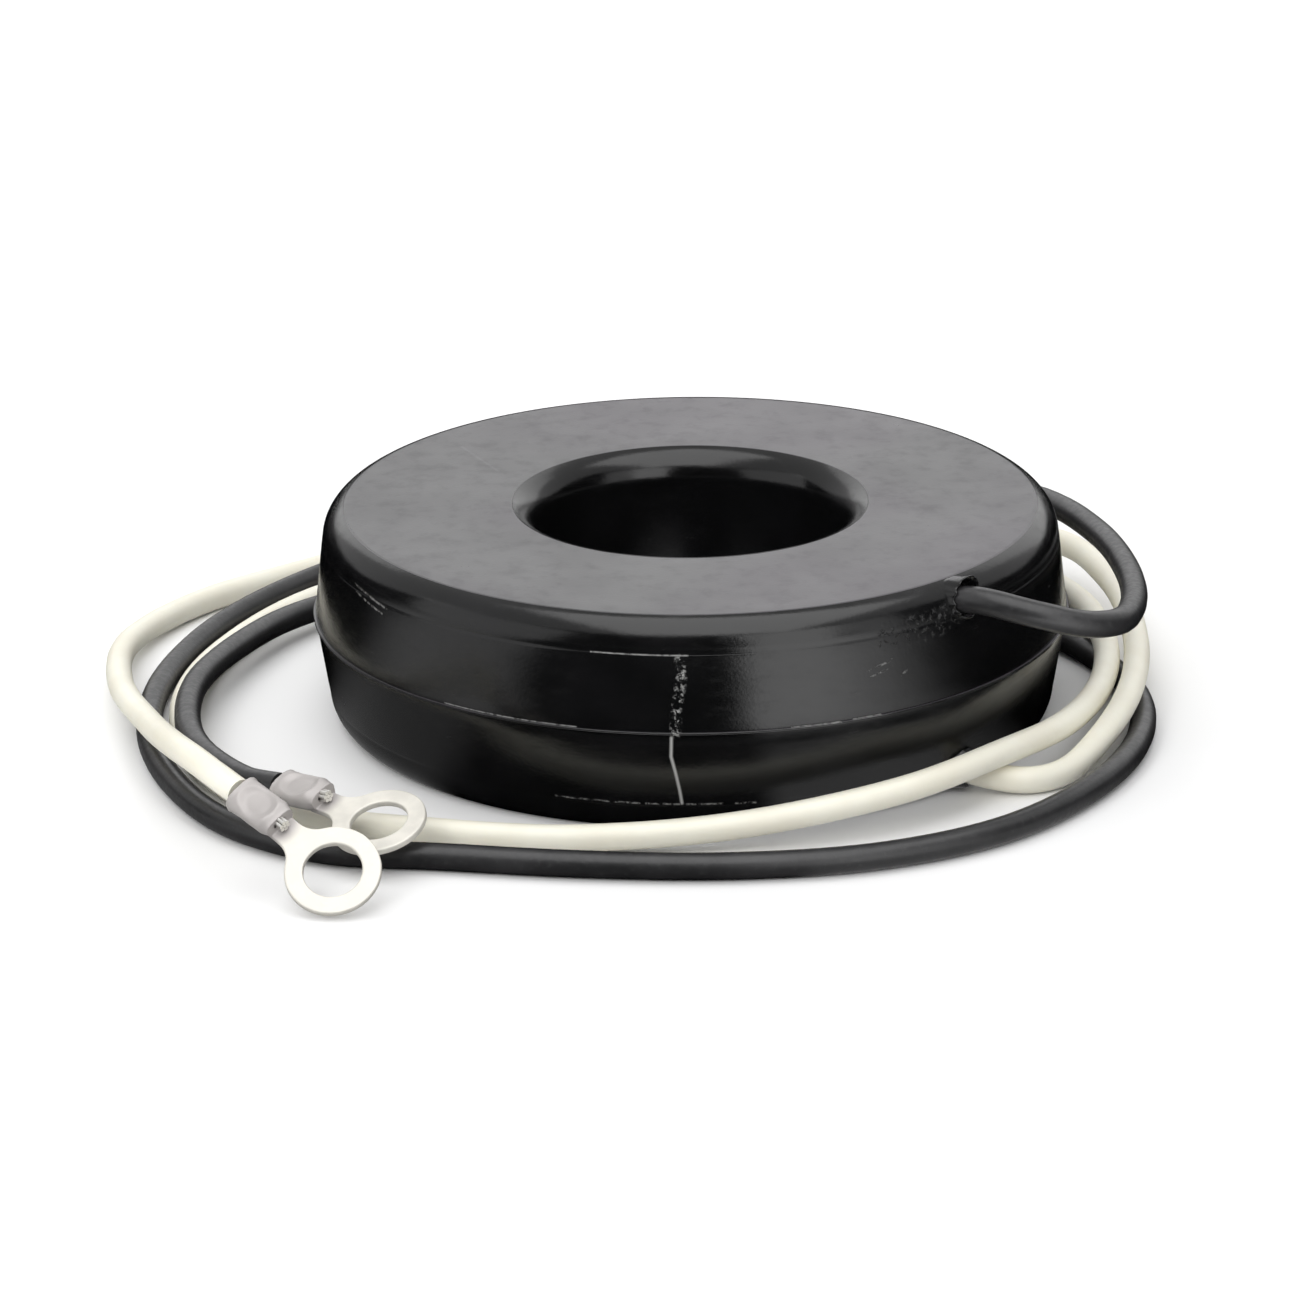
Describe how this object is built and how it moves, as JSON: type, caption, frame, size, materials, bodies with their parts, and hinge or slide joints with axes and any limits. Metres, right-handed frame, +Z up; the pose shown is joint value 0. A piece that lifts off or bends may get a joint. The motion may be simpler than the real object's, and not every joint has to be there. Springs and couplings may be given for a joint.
{
  "type": "window-type current transformer",
  "caption": "Round ring-shaped current transformer in a black moulded case, lying flat, with one black and one white lead coiled around it, each ending in a ring terminal.",
  "frame": {"origin": "centre of the underside of the ring case, on the axis of the bore", "axes": "+Z up along the bore axis, from the underside to the top face; -Y is the side that the two coiled leads pass in front of with their terminals"},
  "size_m": [0.124, 0.1298, 0.0254],
  "materials": {
    "case_plastic": "satin moulded",
    "core_steel": "strip wound",
    "cap_plastic": "moulded",
    "enamelled_copper": "enamelled copper",
    "tape": "polyester film",
    "bare_copper": "plain copper",
    "heat_shrink": "satin",
    "black_insulation": "satin PVC",
    "white_insulation": "satin PVC",
    "tinned_wire": "tinned",
    "tinned_brass": "tinned, dull"
  },
  "bodies": {
    "root": {"upper_case": "case_plastic", "lower_case": "case_plastic", "core": "core_steel", "upper_core_cap": "cap_plastic", "lower_core_cap": "cap_plastic", "secondary_winding": "enamelled_copper", "winding_tape": "tape", "start_splice": "bare_copper", "finish_splice": "bare_copper", "start_sleeve": "heat_shrink", "finish_sleeve": "heat_shrink", "black_lead": "black_insulation", "white_lead": "white_insulation", "black_strands": "tinned_wire", "white_strands": "tinned_wire", "black_terminal": "tinned_brass", "white_terminal": "tinned_brass"}
  },
  "joints": []
}
